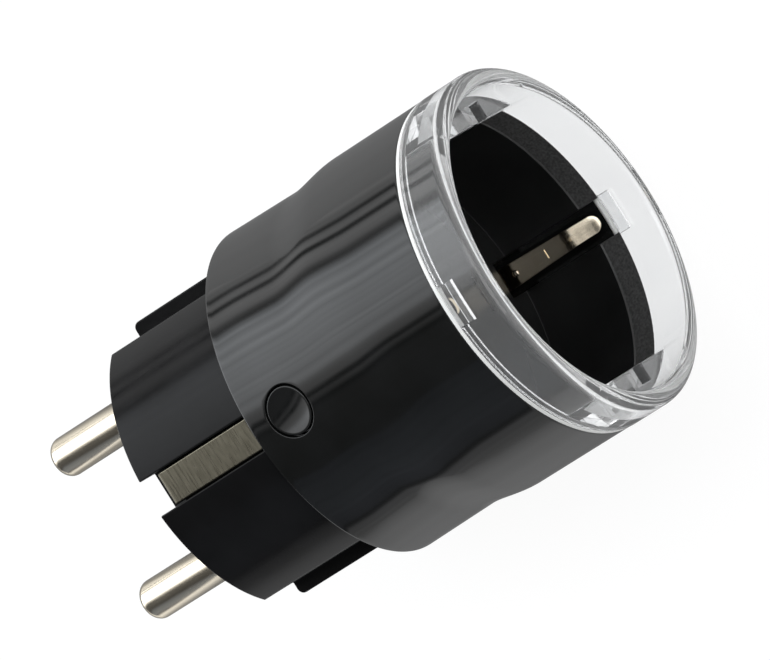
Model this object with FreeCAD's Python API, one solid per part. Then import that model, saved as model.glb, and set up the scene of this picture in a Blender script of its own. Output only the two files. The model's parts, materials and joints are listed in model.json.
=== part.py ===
import FreeCAD, Part
import math
import os

# A round smart plug for 16 A round-pin sockets with earth contacts at the sides.
# Modelled along Z: Z = 0 is the rear face that seats in the wall socket, the pins point to -Z, the socket
# mouth to +Z. X runs along the line of the two pins, and +Y is the side with the button.
# On export everything is turned 90 degrees about X, so the mouth faces -Y and the button faces +Z.
# All lengths are in millimetres.

Vec = FreeCAD.Vector

# Rear plug: pins and base
PIN_PITCH = 19.0
PIN_X = PIN_PITCH / 2
PIN_R = 2.4
PIN_LENGTH = 19.0
PIN_TIP_ROUND = 1.4
PIN_SHOULDER_R = 2.6
PIN_FLANGE_R = 4.0
PIN_TAIL_R = 1.5
FACE_WALL = 3.0
BASE_LENGTH = 16.2
BASE_R = 18.7
BASE_FLAT_X = 16.1
BASE_EDGE = 0.3
BASE_CAVITY_R = 16.2
BASE_CAVITY_X = 13.6
COLLAR_R = 17.6
COLLAR_X = 15.0
COLLAR_END = 18.0

# Guide rails on the flats of the base
RAIL_OUTER_X = 17.8
RAIL_Y_IN = 2.8
RAIL_Y_OUT = 4.7
RAIL_START = 1.6
RAIL_CORNER = 0.8

# Side earth contacts
EARTH_HALF_WIDTH = 2.0
EARTH_THICK = 1.0
EARTH_OUTER_Y = 18.0
EARTH_START = 2.0
EARTH_END = 17.8
EARTH_TAB_Y = 14.9
EARTH_ROUND = 0.5
EARTH_SLOT_HALF = 2.2
EARTH_SLOT_Y = 16.9
EARTH_NOTCH_Y = 14.8

# Housing shell
HOUSING_START = BASE_LENGTH
HOUSING_END = 46.3
HOUSING_WALL = 1.1
HOUSING_BACK_WALL = 1.5
HOUSING_EDGE = 0.35
HOUSING_BACK_X = 20.6
HOUSING_WAIST_X = 20.4
HOUSING_BACK_Y = 19.3
HOUSING_FRONT_R = 21.2
FLARE_START = 26.5
FLARE_END = 33.0
RISE_START = 16.5
RISE_END = 38.0
RISE_ROUND = 0.2
FORM_STEPS = 28
OVAL_DIFFERENCE = 1e-3
FIT_GAP = 0.1
EDGE_TOLERANCE = 0.01

# Button on the +Y side
BUTTON_Z = 22.0
BUTTON_R = 2.85
BUTTON_HOLE_R = 3.1
BUTTON_FLANGE_R = 3.5
BUTTON_FLANGE_Y = 17.0
BUTTON_FLANGE_THICK = 0.7
BUTTON_STEM_R = 1.6
BUTTON_STEM_LENGTH = 0.2
BUTTON_TRAVEL = 0.5
BUTTON_DISH_R = 14.0
BUTTON_DISH_DEPTH = 0.2
SWITCH_HALF = 2.5
SWITCH_HEIGHT = 1.5
SWITCH_PLUNGER_R = 1.4
SWITCH_GAP = 0.05

# Light ring at the mouth
DIFFUSER_THICK = 0.5
RING_START = HOUSING_END + DIFFUSER_THICK
RING_END = 52.8
RING_R = 21.25
RING_ROUND = 1.3
RING_MOUTH_R = 19.05
RING_SEAT_R = 19.5
RING_INNER_ROUND = 0.45
TAB_END = 48.9
TAB_X = 15.9
WINDOW_HALF_WIDTH = 2.5
WINDOW_INNER_R = 19.8
WINDOW_OUTER_Y = 20.8
WINDOW_END = 48.7

# Socket insert and recess
INSERT_R = 19.9
INSERT_FOOT_R = 19.5
INSERT_FOOT_END = 35.0
INSERT_START = 31.8
INSERT_TOP = 47.3
FLOOR_TOP = 33.4
RECESS_R = 19.2
RECESS_FLAT_X = 16.2
LEAD_IN = 0.35
LEAD_IN_START = 44.7
CHANNEL_Y_IN = 2.6
CHANNEL_Y_OUT = 4.9
CHANNEL_X = 18.1
SOCKET_HOLE_R = 2.7
CLIP_SLOT_HALF = 2.25
CLIP_SLOT_Y = 15.8
GUIDE_X = (17.7, 19.1)
GUIDE_HALF_WIDTH = 1.5

# Shutter behind the recess floor
POST_R = 1.55
POST_START = 28.3
SCREW_R = 0.85
SCREW_HOLE_END = 31.4
SCREW_END = 31.3
SCREW_HEAD_R = 2.1
SCREW_HEAD_HEIGHT = 0.8
SCREW_CROSS_HALF_LENGTH = 1.2
SCREW_CROSS_HALF_WIDTH = 0.25
SCREW_CROSS_DEPTH = 0.45
SHUTTER_BORE_R = 1.6
SHUTTER_HUB_R = 2.6
SHUTTER_START = 28.4
SHUTTER_WING_START = 29.8
SHUTTER_TOP = 31.5
SHUTTER_HALF_WIDTH = 3.1
SHUTTER_RAMP = 1.1
SPRING_R = 3.3
SPRING_WIRE_R = 0.25
SPRING_Z = 29.0
SPRING_TURN = 290
SPRING_LEG = 5.0

# Earth path inside
BRIDGE_Z = 11.4
BRIDGE_THICK = 0.8
RISER_Y = 15.6
YOKE_Z = (28.8, 29.6)
YOKE_R = (13.8, 18.1)
CLIP_THICK = 0.5
CLIP_ROOT_HALF = 1.5
CLIP_TIP_HALF = 1.1
CLIP_PATH = (
    (17.6, 29.7),
    (17.6, 32.5),
    (17.55, 35.5),
    (17.4, 38.5),
    (17.1, 41.2),
    (17.1, 42.5),
    (17.7, 44.3),
    (18.5, 46.5),
)

# Boards and components
BOARD_Z = (12.2, 13.8)
BOARD_R = 15.9
BOARD_X = 13.3
CLAMP_Z = (4.0, 5.6)
SLEEVE_Z = (15.0, 28.2)
SLEEVE_R = 3.2
SLEEVE_BORE_R = 2.5
SLEEVE_SLIT = 0.8
SLEEVE_CLOSED_HEIGHT = 4.0
SLEEVE_LEG_HALF_WIDTH = 1.2
SLEEVE_LEG_OVERLAP = 2.0
CONTROL_Y = (13.2, 14.2)
CONTROL_HALF_WIDTH = 7.0
CONTROL_TOP = 28.2
RADIO_BOARD_HALF_WIDTH = 6.2
RADIO_BOARD_THICK = 0.8
RADIO_BOARD_Z = (14.6, 27.6)
RADIO_CAN_HALF_WIDTH = 5.6
RADIO_CAN_HEIGHT = 1.8
RADIO_CAN_Z = (15.1, 23.6)
LED_BOARD_Z = (30.2, 31.2)
LED_BOARD_R = (13.3, 18.9)
LED_NOTCH_HALF_WIDTH = 2.6
LED_NOTCH_Y = 16.0
LED_X = 18.2
LED_SIZE = 1.6
LED_THICK = 0.6
RELAY_HALF_X = 8.6
RELAY_Y = (-13.5, -3.9)
RELAY_TOP = 26.2
COMPONENT_ROUND = 0.5
CAPACITOR_R = 3.1
CAPACITOR_AT = (6.8, 7.1)
CAPACITOR_TOP = 25.8
INDUCTOR_AT = (0.0, 6.4)
INDUCTOR_FLANGE_R = 2.4
INDUCTOR_WAIST_R = 1.9
INDUCTOR_FLANGE = 1.0
INDUCTOR_HEIGHT = 8.0
FUSE_R = 1.9
FUSE_CAP_R = 2.1
FUSE_CAP_LENGTH = 2.4
FUSE_X = (-6.0, 6.0)
FUSE_Y = 8.6
FUSE_Z = 8.2
FUSE_LEAD_X = 4.8
FUSE_LEAD_HALF = 0.4
VARISTOR_R = 2.6
VARISTOR_Y = (-10.4, -7.4)
VARISTOR_Z = 8.2
VARISTOR_LEAD_R = 0.35
VARISTOR_LEAD_X = 2.45
VARISTOR_LEAD_START = 8.6
SHUNT_X = (3.0, 7.0)
SHUNT_Y = (3.4, 5.4)
SHUNT_THICK = 0.6
SHUNT_HEIGHT = 2.8

SIDES = (1, -1)


def box(x, y, z):
    """A box between pairs of limits."""
    return Part.makeBox(x[1] - x[0], y[1] - y[0], z[1] - z[0], Vec(x[0], y[0], z[0]))


def rod(radius, z, x=0.0, y=0.0):
    """A cylinder along Z between two heights."""
    return Part.makeCylinder(radius, z[1] - z[0], Vec(x, y, z[0]))


def side_rod(radius, y, x, z):
    """A cylinder along Y between two limits."""
    return Part.makeCylinder(radius, y[1] - y[0], Vec(x, y[0], z), Vec(0, 1, 0))


def flatted(radius, half_width, z):
    """A cylinder with two flats, facing +X and -X."""
    return rod(radius, z).common(box((-half_width, half_width), (-radius, radius), z))


def sorted_pair(a, b):
    return (min(a, b), max(a, b))


def mirrored(shape):
    """The shape's mirror image on the -Y side."""
    return shape.mirror(Vec(0, 0, 0), Vec(0, 1, 0))


def smooth_strip(path, thickness, half_width):
    """A springy strip whose two faces are smooth curves along the path."""
    points = [Vec(0, y, z) for y, z in path]
    centre = Part.BSplineCurve()
    centre.interpolate(points)
    rows = []
    for side in SIDES:
        row = []
        for p in points:
            tangent = centre.tangent(centre.parameter(p))[0]
            row.append(p + Vec(0, -tangent.z, tangent.y) * (side * thickness / 2))
        rows.append(row)
    curves = []
    for row in rows:
        curve = Part.BSplineCurve()
        curve.interpolate(row)
        curves.append(curve.toShape())
    root = line(rows[0][0], rows[1][0])
    tip = line(rows[0][-1], rows[1][-1])
    face = Part.Face(Part.Wire([curves[0], tip, curves[1], root]))
    face.translate(Vec(-half_width, 0, 0))
    return face.extrude(Vec(2 * half_width, 0, 0))


def revolved(outline):
    """A closed wire in the XZ plane turned about Z."""
    return Part.Face(outline).revolve(Vec(0, 0, 0), Vec(0, 0, 1), 360)


def corner_arc(centre, radius, start_deg, end_deg):
    """An arc in the XZ plane, given as (x, z) centre, radius and two angles."""
    angles = (start_deg, (start_deg + end_deg) / 2, end_deg)
    on_arc = [math.radians(a) for a in angles]
    points = [Vec(centre[0] + radius * math.cos(a), 0, centre[1] + radius * math.sin(a)) for a in on_arc]
    return Part.Arc(*points).toShape(), points[0], points[2]


def line(a, b):
    return Part.LineSegment(a, b).toShape()


def smooth_step(t):
    t = min(max(t, 0.0), 1.0)
    return t * t * (3 - 2 * t)


def even_rise(t):
    """A straight rise from 0 to 1 with both ends rounded."""
    t = min(max(t, 0.0), 1.0)
    steepness = 2 * RISE_ROUND * (1 - RISE_ROUND)
    if t < RISE_ROUND:
        return t * t / steepness
    if t > 1 - RISE_ROUND:
        return 1 - (1 - t) ** 2 / steepness
    return (t - RISE_ROUND / 2) / (1 - RISE_ROUND)


def housing_axes(z):
    """Half width along X and half height along Y of the housing's oval section at a height."""
    waist = min((z - HOUSING_START) / (FLARE_START - HOUSING_START), 1.0)
    half_x = HOUSING_BACK_X + (HOUSING_WAIST_X - HOUSING_BACK_X) * waist
    half_x += (HOUSING_FRONT_R - half_x) * smooth_step((z - FLARE_START) / (FLARE_END - FLARE_START))
    rise = even_rise((z - RISE_START) / (RISE_END - RISE_START))
    return half_x, HOUSING_BACK_Y + (HOUSING_FRONT_R - HOUSING_BACK_Y) * rise


def oval(z, half_x, half_y):
    """An oval wire. Where it would be a circle it stays a hair wider along X, so that it has a long axis."""
    ellipse = Part.Ellipse(Vec(0, 0, z), half_x + OVAL_DIFFERENCE, half_y)
    return Part.Wire([ellipse.toShape()])


def housing_section(z, inset=0.0):
    half_x, half_y = housing_axes(z)
    return oval(z, half_x - inset, half_y - inset)


def housing_form(start, end, inset=0.0):
    """The housing's outer form between two heights, moved inwards by an inset."""
    step = (RISE_END - start) / FORM_STEPS
    sections = [housing_section(start + step * i, inset) for i in range(FORM_STEPS + 1)]
    back = Part.makeLoft(sections, True, False)
    front = Part.makeLoft([housing_section(RISE_END, inset), housing_section(end, inset)], True, True)
    return back.fuse(front)


def guide_channels(z):
    """The space that two guide rails slide in, on both flats of the recess."""
    channels = []
    for sx in SIDES:
        for sy in SIDES:
            x = sorted_pair(sx * (RECESS_FLAT_X - 1), sx * CHANNEL_X)
            channels.append(box(x, sorted_pair(sy * CHANNEL_Y_IN, sy * CHANNEL_Y_OUT), z))
    return channels


def plug_base():
    body = flatted(BASE_R, BASE_FLAT_X, (0, BASE_LENGTH))
    rear_edges = [e for e in body.Edges if e.BoundBox.ZMax < EDGE_TOLERANCE]
    body = body.makeChamfer(BASE_EDGE, rear_edges)
    collar = flatted(COLLAR_R, COLLAR_X, (BASE_LENGTH, COLLAR_END))
    rails = []
    for sx in SIDES:
        for sy in SIDES:
            x = sorted_pair(sx * (BASE_FLAT_X - 1), sx * RAIL_OUTER_X)
            rail = box(x, sorted_pair(sy * RAIL_Y_IN, sy * RAIL_Y_OUT), (RAIL_START, BASE_LENGTH))
            start_edges = [e for e in rail.Edges if e.BoundBox.ZMax < RAIL_START + EDGE_TOLERANCE]
            lead = [e for e in start_edges if abs(e.CenterOfMass.x) > RAIL_OUTER_X - EDGE_TOLERANCE]
            rails.append(rail.makeFillet(RAIL_CORNER, lead))
    body = body.fuse([collar] + rails)
    cuts = [flatted(BASE_CAVITY_R, BASE_CAVITY_X, (FACE_WALL, COLLAR_END))]
    slot_x = (-EARTH_SLOT_HALF, EARTH_SLOT_HALF)
    for sy in SIDES:
        cuts.append(box(slot_x, sorted_pair(sy * EARTH_SLOT_Y, sy * BASE_R), (0, COLLAR_END)))
        cuts.append(box(slot_x, sorted_pair(sy * EARTH_NOTCH_Y, sy * BASE_R), (0, FACE_WALL)))
        bridge_z = (BRIDGE_Z - BRIDGE_THICK / 2 - FIT_GAP, BRIDGE_Z + BRIDGE_THICK / 2 + FIT_GAP)
        cuts.append(box(slot_x, sorted_pair(sy * (BASE_CAVITY_R - 1), sy * EARTH_SLOT_Y), bridge_z))
    for sx in SIDES:
        cuts.append(rod(PIN_SHOULDER_R, (0, FACE_WALL), sx * PIN_X))
    return body.cut(cuts).removeSplitter()


def pin(side):
    straight_end = -PIN_LENGTH + PIN_TIP_ROUND
    tip, tip_start, tip_end = corner_arc((PIN_R - PIN_TIP_ROUND, straight_end), PIN_TIP_ROUND, -90, 0)
    inner = Vec(0, 0, -PIN_LENGTH)
    top = Vec(0, 0, 0)
    root = Vec(PIN_R, 0, 0)
    edges = [line(inner, tip_start), tip, line(tip_end, root), line(root, top), line(top, inner)]
    shaft = revolved(Part.Wire(edges))
    shoulder = rod(PIN_SHOULDER_R, (0, FACE_WALL))
    flange = rod(PIN_FLANGE_R, (FACE_WALL, CLAMP_Z[0]))
    tail = rod(PIN_TAIL_R, (CLAMP_Z[0], BOARD_Z[1]))
    whole = shaft.fuse([shoulder, flange, tail]).removeSplitter()
    whole.translate(Vec(side * PIN_X, 0, 0))
    return whole


def pin_clamp_plate():
    plate = flatted(BASE_CAVITY_R - FIT_GAP, BASE_CAVITY_X - FIT_GAP, CLAMP_Z)
    holes = [rod(PIN_TAIL_R + FIT_GAP, CLAMP_Z, sx * PIN_X) for sx in SIDES]
    return plate.cut(holes)


def earth_contact():
    x = (-EARTH_HALF_WIDTH, EARTH_HALF_WIDTH)
    face = box(x, (EARTH_OUTER_Y - EARTH_THICK, EARTH_OUTER_Y), (EARTH_START, EARTH_END))
    start_edges = [e for e in face.Edges if e.BoundBox.ZMax < EARTH_START + EDGE_TOLERANCE]
    outer_corner = [e for e in start_edges if e.CenterOfMass.y > EARTH_OUTER_Y - EDGE_TOLERANCE]
    tab = box(x, (EARTH_TAB_Y, EARTH_OUTER_Y - EARTH_ROUND), (EARTH_START, FACE_WALL))
    return face.makeFillet(EARTH_ROUND, outer_corner).fuse(tab).removeSplitter()


def earth_bridge():
    x = (-EARTH_HALF_WIDTH, EARTH_HALF_WIDTH)
    half = BRIDGE_THICK / 2
    plate = box(x, (-EARTH_SLOT_Y, EARTH_SLOT_Y), (BRIDGE_Z - half, BRIDGE_Z + half))
    riser = box(x, (-RISER_Y - half, -RISER_Y + half), (BRIDGE_Z, YOKE_Z[0]))
    return plate.fuse(riser).removeSplitter()


def earth_yoke():
    return rod(YOKE_R[1], YOKE_Z).cut(rod(YOKE_R[0], YOKE_Z))


def earth_clip():
    clip = smooth_strip(CLIP_PATH, CLIP_THICK, CLIP_ROOT_HALF)
    root_z = CLIP_PATH[0][1] - CLIP_THICK
    neck_z = CLIP_PATH[-1][1] - CLIP_TIP_HALF
    right = Vec(CLIP_TIP_HALF, 0, neck_z)
    left = Vec(-CLIP_TIP_HALF, 0, neck_z)
    low_left = Vec(-CLIP_ROOT_HALF, 0, root_z)
    low_right = Vec(CLIP_ROOT_HALF, 0, root_z)
    round_tip = Part.Arc(right, Vec(0, 0, neck_z + CLIP_TIP_HALF), left).toShape()
    outline = Part.Wire([line(low_left, low_right), line(low_right, right), round_tip, line(left, low_left)])
    blank = Part.Face(outline).extrude(Vec(0, HOUSING_FRONT_R, 0))
    return clip.common(blank).removeSplitter()


def housing_shell():
    edge_top = HOUSING_START + HOUSING_EDGE
    edge_x, edge_y = housing_axes(edge_top)
    small = oval(HOUSING_START, edge_x - HOUSING_EDGE, edge_y - HOUSING_EDGE)
    chamfer = Part.makeLoft([small, oval(edge_top, edge_x, edge_y)], True, True)
    outer = housing_form(edge_top, HOUSING_END)
    inner = housing_form(HOUSING_START + HOUSING_BACK_WALL, HOUSING_END, HOUSING_WALL)
    back_z = (HOUSING_START, HOUSING_START + HOUSING_BACK_WALL)
    back_hole = flatted(COLLAR_R + FIT_GAP, COLLAR_X + FIT_GAP, back_z)
    reach = EARTH_OUTER_Y + FIT_GAP
    earth_way = box((-EARTH_SLOT_HALF, EARTH_SLOT_HALF), (-reach, reach), back_z)
    button_hole = side_rod(BUTTON_HOLE_R, (BUTTON_FLANGE_Y, HOUSING_FRONT_R), 0, BUTTON_Z)
    return outer.fuse(chamfer).cut([inner, back_hole, earth_way, button_hole]).removeSplitter()


def power_button():
    cap = side_rod(BUTTON_R, (BUTTON_FLANGE_Y, HOUSING_FRONT_R), 0, BUTTON_Z)
    cap = cap.common(housing_form(HOUSING_START + HOUSING_EDGE, HOUSING_END)).removeSplitter()
    surface_y = housing_axes(BUTTON_Z)[1]
    dish_y = surface_y - BUTTON_DISH_DEPTH + BUTTON_DISH_R
    dish = Part.makeSphere(BUTTON_DISH_R, Vec(0, dish_y, BUTTON_Z))
    flange_y = (BUTTON_FLANGE_Y, BUTTON_FLANGE_Y + BUTTON_FLANGE_THICK)
    flange = side_rod(BUTTON_FLANGE_R, flange_y, 0, BUTTON_Z)
    stem = side_rod(BUTTON_STEM_R, (BUTTON_FLANGE_Y - BUTTON_STEM_LENGTH, BUTTON_FLANGE_Y), 0, BUTTON_Z)
    return cap.cut(dish).fuse([flange, stem]).removeSplitter()


def tact_switch():
    body_y = (CONTROL_Y[1], CONTROL_Y[1] + SWITCH_HEIGHT)
    body = box((-SWITCH_HALF, SWITCH_HALF), body_y, (BUTTON_Z - SWITCH_HALF, BUTTON_Z + SWITCH_HALF))
    stem_end = BUTTON_FLANGE_Y - BUTTON_STEM_LENGTH
    plunger_y = (body_y[1], stem_end - BUTTON_TRAVEL - SWITCH_GAP)
    return body.fuse(side_rod(SWITCH_PLUNGER_R, plunger_y, 0, BUTTON_Z)).removeSplitter()


def diffuser_ring():
    z = (HOUSING_END, RING_START)
    return rod(HOUSING_FRONT_R, z).cut(rod(INSERT_R + FIT_GAP, z))


def light_ring():
    seat_r = INSERT_R + FIT_GAP
    outer_centre = (RING_R - RING_ROUND, RING_END - RING_ROUND)
    outer_arc, outer_a, outer_b = corner_arc(outer_centre, RING_ROUND, 0, 90)
    inner_centre = (RING_MOUTH_R + RING_INNER_ROUND, RING_END - RING_INNER_ROUND)
    inner_arc, inner_a, inner_b = corner_arc(inner_centre, RING_INNER_ROUND, 90, 180)
    seat = [Vec(RING_SEAT_R, 0, INSERT_TOP), Vec(seat_r, 0, INSERT_TOP), Vec(seat_r, 0, RING_START)]
    outer_low = Vec(RING_R, 0, RING_START)
    edges = [line(outer_low, outer_a), outer_arc, line(outer_b, inner_a), inner_arc, line(inner_b, seat[0])]
    edges += [line(seat[0], seat[1]), line(seat[1], seat[2]), line(seat[2], outer_low)]
    ring = revolved(Part.Wire(edges))
    tab_z = (INSERT_TOP, TAB_END)
    middle = box((-TAB_X, TAB_X), (-INSERT_R, INSERT_R), tab_z)
    tabs = rod(INSERT_R, tab_z).cut([middle] + guide_channels(tab_z))
    windows = []
    window_x = (-WINDOW_HALF_WIDTH, WINDOW_HALF_WIDTH)
    window_z = (RING_START, WINDOW_END)
    for sy in SIDES:
        pocket = box(window_x, sorted_pair(sy * RECESS_R, sy * WINDOW_OUTER_Y), window_z)
        windows.append(pocket.cut(rod(WINDOW_INNER_R, window_z)))
    return ring.fuse(tabs).cut(windows).removeSplitter()


def light_guide(side):
    x = sorted_pair(side * GUIDE_X[0], side * GUIDE_X[1])
    return box(x, (-GUIDE_HALF_WIDTH, GUIDE_HALF_WIDTH), (INSERT_START + FIT_GAP, INSERT_TOP))


def recess_space():
    """The space that a plug goes into, with rail channels and a lead-in at the top."""
    recess_z = (FLOOR_TOP, INSERT_TOP)
    lead_z = (LEAD_IN_START, INSERT_TOP)
    cone = Part.makeCone(RECESS_R, RECESS_R + LEAD_IN, lead_z[1] - lead_z[0], Vec(0, 0, lead_z[0]))
    lead = cone.common(box((-RECESS_FLAT_X, RECESS_FLAT_X), (-INSERT_R, INSERT_R), lead_z))
    return [flatted(RECESS_R, RECESS_FLAT_X, recess_z), lead] + guide_channels(recess_z)


def socket_insert():
    foot = rod(INSERT_FOOT_R, (INSERT_START, INSERT_FOOT_END))
    body = rod(INSERT_R, (INSERT_FOOT_END, INSERT_TOP)).fuse(foot)
    cuts = recess_space()
    pocket_y = (-GUIDE_HALF_WIDTH - FIT_GAP, GUIDE_HALF_WIDTH + FIT_GAP)
    slot_x = (-CLIP_SLOT_HALF, CLIP_SLOT_HALF)
    for side in SIDES:
        cuts.append(rod(SOCKET_HOLE_R, (INSERT_START, FLOOR_TOP), side * PIN_X))
        pocket_x = sorted_pair(side * (GUIDE_X[0] - FIT_GAP), side * (GUIDE_X[1] + FIT_GAP))
        cuts.append(box(pocket_x, pocket_y, (INSERT_START, INSERT_TOP)))
        slot_y = sorted_pair(side * CLIP_SLOT_Y, side * (INSERT_R + FIT_GAP))
        cuts.append(box(slot_x, slot_y, (INSERT_START, INSERT_TOP)))
    post = rod(POST_R, (POST_START, INSERT_START))
    screw_hole = rod(SCREW_R, (POST_START, SCREW_HOLE_END))
    return body.cut(cuts).fuse(post).cut(screw_hole).removeSplitter()


def safety_shutter():
    """A hub with a wing over each pin hole. A ramp on each wing lets a pair of pins turn it aside."""
    half = SHUTTER_HALF_WIDTH
    hub = rod(SHUTTER_HUB_R, (SHUTTER_START, SHUTTER_TOP))
    wing_z = (SHUTTER_WING_START, SHUTTER_TOP)
    wings = [box((-PIN_X, PIN_X), (-half, half), wing_z)]
    wings += [rod(half, wing_z, side * PIN_X) for side in SIDES]
    low = SHUTTER_TOP - SHUTTER_RAMP
    corners = [Vec(0, -half, SHUTTER_TOP), Vec(0, half, SHUTTER_TOP), Vec(0, half, low)]
    ramp = Part.Face(Part.makePolygon(corners + corners[:1])).extrude(Vec(2 * half, 0, 0))
    ramp.translate(Vec(PIN_X - half, 0, 0))
    other_ramp = ramp.copy()
    other_ramp.rotate(Vec(0, 0, 0), Vec(0, 0, 1), 180)
    bore = rod(SHUTTER_BORE_R, (SHUTTER_START, SHUTTER_TOP))
    return hub.fuse(wings).cut([ramp, other_ramp, bore]).removeSplitter()


def shutter_screw():
    head_start = POST_START - SCREW_HEAD_HEIGHT
    head = rod(SCREW_HEAD_R, (head_start, POST_START))
    shank = rod(SCREW_R, (POST_START, SCREW_END))
    long_way = (-SCREW_CROSS_HALF_LENGTH, SCREW_CROSS_HALF_LENGTH)
    short_way = (-SCREW_CROSS_HALF_WIDTH, SCREW_CROSS_HALF_WIDTH)
    cross_z = (head_start, head_start + SCREW_CROSS_DEPTH)
    cross = [box(long_way, short_way, cross_z), box(short_way, long_way, cross_z)]
    return head.fuse(shank).cut(cross).removeSplitter()


def shutter_spring():
    """An open coil round the hub with two straight legs."""
    wire = Part.Circle(Vec(SPRING_R, 0, SPRING_Z), Vec(0, 1, 0), SPRING_WIRE_R)
    section = Part.Face(Part.Wire([wire.toShape()]))
    coil = section.revolve(Vec(0, 0, 0), Vec(0, 0, 1), SPRING_TURN)
    first_leg = section.extrude(Vec(0, -SPRING_LEG, 0))
    end_section = section.copy()
    end_section.rotate(Vec(0, 0, 0), Vec(0, 0, 1), SPRING_TURN)
    end_angle = math.radians(SPRING_TURN)
    second_leg = end_section.extrude(Vec(-math.sin(end_angle), math.cos(end_angle), 0) * SPRING_LEG)
    return coil.fuse([first_leg, second_leg]).removeSplitter()


def contact_sleeve(side):
    x = side * PIN_X
    sleeve = rod(SLEEVE_R, SLEEVE_Z, x)
    leg_x = sorted_pair(x + side * SLEEVE_BORE_R, x + side * SLEEVE_R)
    leg_y = (-SLEEVE_LEG_HALF_WIDTH, SLEEVE_LEG_HALF_WIDTH)
    leg = box(leg_x, leg_y, (BOARD_Z[1], SLEEVE_Z[0] + SLEEVE_LEG_OVERLAP))
    bore = rod(SLEEVE_BORE_R, (BOARD_Z[1], SLEEVE_Z[1]), x)
    slit_z = (SLEEVE_Z[0] + SLEEVE_CLOSED_HEIGHT, SLEEVE_Z[1])
    slit = box((x - SLEEVE_R, x + SLEEVE_R), (-SLEEVE_SLIT / 2, SLEEVE_SLIT / 2), slit_z)
    return sleeve.fuse(leg).cut([bore, slit]).removeSplitter()


def main_board():
    board = flatted(BOARD_R, BOARD_X, BOARD_Z)
    cuts = [rod(PIN_TAIL_R + FIT_GAP, BOARD_Z, sx * PIN_X) for sx in SIDES]
    notch_x = (-EARTH_HALF_WIDTH - FIT_GAP, EARTH_HALF_WIDTH + FIT_GAP)
    cuts.append(box(notch_x, (-BOARD_R, -RISER_Y + BRIDGE_THICK), BOARD_Z))
    return board.cut(cuts)


def control_board():
    return box((-CONTROL_HALF_WIDTH, CONTROL_HALF_WIDTH), CONTROL_Y, (BOARD_Z[1], CONTROL_TOP))


def radio_module():
    board_y = (CONTROL_Y[0] - RADIO_BOARD_THICK, CONTROL_Y[0])
    board = box((-RADIO_BOARD_HALF_WIDTH, RADIO_BOARD_HALF_WIDTH), board_y, RADIO_BOARD_Z)
    can_y = (board_y[0] - RADIO_CAN_HEIGHT, board_y[0])
    can = box((-RADIO_CAN_HALF_WIDTH, RADIO_CAN_HALF_WIDTH), can_y, RADIO_CAN_Z)
    return board.fuse(can).removeSplitter()


def relay():
    body = box((-RELAY_HALF_X, RELAY_HALF_X), RELAY_Y, (BOARD_Z[1], RELAY_TOP))
    open_edges = [e for e in body.Edges if e.BoundBox.ZMin > BOARD_Z[1] + EDGE_TOLERANCE]
    return body.makeFillet(COMPONENT_ROUND, open_edges)


def capacitors():
    cans = []
    for side in SIDES:
        can = rod(CAPACITOR_R, (BOARD_Z[1], CAPACITOR_TOP), side * CAPACITOR_AT[0], CAPACITOR_AT[1])
        top_edges = [e for e in can.Edges if e.BoundBox.ZMin > CAPACITOR_TOP - EDGE_TOLERANCE]
        cans.append(can.makeFillet(COMPONENT_ROUND, top_edges))
    return Part.makeCompound(cans)


def inductor():
    start = BOARD_Z[1]
    end = start + INDUCTOR_HEIGHT
    low = rod(INDUCTOR_FLANGE_R, (start, start + INDUCTOR_FLANGE), *INDUCTOR_AT)
    waist = rod(INDUCTOR_WAIST_R, (start + INDUCTOR_FLANGE, end - INDUCTOR_FLANGE), *INDUCTOR_AT)
    high = rod(INDUCTOR_FLANGE_R, (end - INDUCTOR_FLANGE, end), *INDUCTOR_AT)
    return waist.fuse([low, high]).removeSplitter()


def fuse():
    along = Vec(1, 0, 0)
    body = Part.makeCylinder(FUSE_R, FUSE_X[1] - FUSE_X[0], Vec(FUSE_X[0], FUSE_Y, FUSE_Z), along)
    ends = []
    for x in (FUSE_X[0], FUSE_X[1] - FUSE_CAP_LENGTH):
        ends.append(Part.makeCylinder(FUSE_CAP_R, FUSE_CAP_LENGTH, Vec(x, FUSE_Y, FUSE_Z), along))
    for side in SIDES:
        x = side * FUSE_LEAD_X
        lead_x = (x - FUSE_LEAD_HALF, x + FUSE_LEAD_HALF)
        ends.append(box(lead_x, (FUSE_Y - FUSE_LEAD_HALF, FUSE_Y + FUSE_LEAD_HALF), (FUSE_Z, BOARD_Z[0])))
    return body.fuse(ends).removeSplitter()


def varistor():
    disc = side_rod(VARISTOR_R, VARISTOR_Y, 0, VARISTOR_Z)
    middle_y = (VARISTOR_Y[0] + VARISTOR_Y[1]) / 2
    lead_z = (VARISTOR_LEAD_START, BOARD_Z[0])
    leads = [rod(VARISTOR_LEAD_R, lead_z, side * VARISTOR_LEAD_X, middle_y) for side in SIDES]
    return disc.fuse(leads).removeSplitter()


def current_shunt():
    """A bridge of resistance strip under the main board."""
    low = BOARD_Z[0] - SHUNT_HEIGHT
    leg_z = (low + SHUNT_THICK, BOARD_Z[0])
    bridge = box(SHUNT_X, SHUNT_Y, (low, leg_z[0]))
    first_leg = box((SHUNT_X[0], SHUNT_X[0] + SHUNT_THICK), SHUNT_Y, leg_z)
    second_leg = box((SHUNT_X[1] - SHUNT_THICK, SHUNT_X[1]), SHUNT_Y, leg_z)
    return bridge.fuse([first_leg, second_leg]).removeSplitter()


def led_board():
    ring = rod(LED_BOARD_R[1], LED_BOARD_Z).cut(rod(LED_BOARD_R[0], LED_BOARD_Z))
    notches = []
    for side in SIDES:
        notch_y = sorted_pair(side * LED_NOTCH_Y, side * LED_BOARD_R[1])
        notches.append(box((-LED_NOTCH_HALF_WIDTH, LED_NOTCH_HALF_WIDTH), notch_y, LED_BOARD_Z))
    return ring.cut(notches)


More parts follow.
